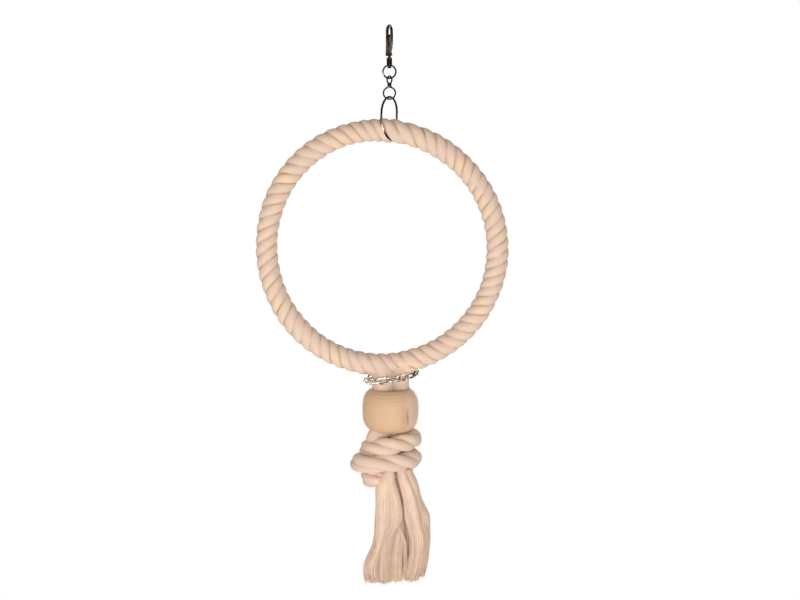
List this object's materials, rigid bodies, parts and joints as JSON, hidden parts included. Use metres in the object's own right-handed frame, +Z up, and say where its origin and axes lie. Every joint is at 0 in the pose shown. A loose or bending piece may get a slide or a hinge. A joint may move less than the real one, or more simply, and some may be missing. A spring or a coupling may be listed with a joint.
{
  "type": "bird rope toy",
  "caption": "Hanging bird perch: thick cotton rope bent to a ring, with a swivel snap hook, chain, wooden bead, wound knot and frayed tassel",
  "frame": {"origin": "inside top of the hook's arch, where the bar that it hangs on touches", "axes": "+Z up, +X to the viewer's right across the ring, +Y away from the viewer through the ring"},
  "size_m": [0.2534, 0.0594, 0.5574],
  "materials": {
    "dark_nickel": "dark nickel plate, glossy, a little worn",
    "nickel_plate": "nickel plate with dark smears",
    "spring_steel": "plain steel wire",
    "cotton_rope": "undyed three-strand cotton rope, matt",
    "cotton_yarn": "undyed cotton yarn, opened and frayed",
    "pale_wood": "pale turned wood, fine grain, satin"
  },
  "bodies": {
    "hook": {"hook_body": "dark_nickel", "gate_pivot_pin": "dark_nickel", "gate_spring": "spring_steel"},
    "gate": {"hook_gate": "dark_nickel"},
    "swivel": {"swivel_eye": "dark_nickel"},
    "link": {"connecting_link": "dark_nickel"},
    "perch": {"bail": "dark_nickel", "rope_ring": "cotton_rope", "hoop_core_wire": "spring_steel", "chain_link_01": "nickel_plate", "chain_link_02": "nickel_plate", "chain_link_03": "nickel_plate", "chain_link_04": "nickel_plate", "chain_link_05": "nickel_plate", "chain_link_06": "nickel_plate", "chain_link_07": "nickel_plate", "chain_link_08": "nickel_plate", "chain_link_09": "nickel_plate", "chain_link_10": "nickel_plate", "chain_link_11": "nickel_plate", "chain_link_12": "nickel_plate", "chain_link_13": "nickel_plate", "chain_link_14": "nickel_plate", "knot_winding": "cotton_rope", "tassel_strand_1": "cotton_yarn", "tassel_strand_2": "cotton_yarn", "tassel_strand_3": "cotton_yarn", "tassel_strand_4": "cotton_yarn", "tassel_strand_5": "cotton_yarn", "tassel_strand_6": "cotton_yarn"},
    "bead": {"wooden_bead": "pale_wood"}
  },
  "joints": [
    {"name": "gate_open", "type": "hinge", "parent": "hook", "child": "gate", "pos_m": [-0.0005, -0.00131, -0.0265], "axis": [-0.9336, 0.3584, 0], "range_deg": [0, 17], "stiffness_Nm_per_rad": 0.05, "springref_deg": -17.19, "deforming": ["gate_spring"]},
    {"name": "swivel_spin", "type": "hinge", "parent": "hook", "child": "swivel", "pos_m": [0, 0, -0.034], "axis": [0, 0, 1], "continuous": true},
    {"name": "link_swing", "type": "hinge", "parent": "swivel", "child": "link", "pos_m": [0, 0, -0.0499], "axis": [1, 0, 0], "range_deg": [-90, 90]},
    {"name": "perch_swing", "type": "hinge", "parent": "link", "child": "perch", "pos_m": [0, 0, -0.06455], "axis": [0, 1, 0], "range_deg": [-60, 60]},
    {"name": "bead_spin", "type": "hinge", "parent": "perch", "child": "bead", "pos_m": [0.001, 0, -0.38095], "axis": [0, 0, 1], "continuous": true}
  ]
}
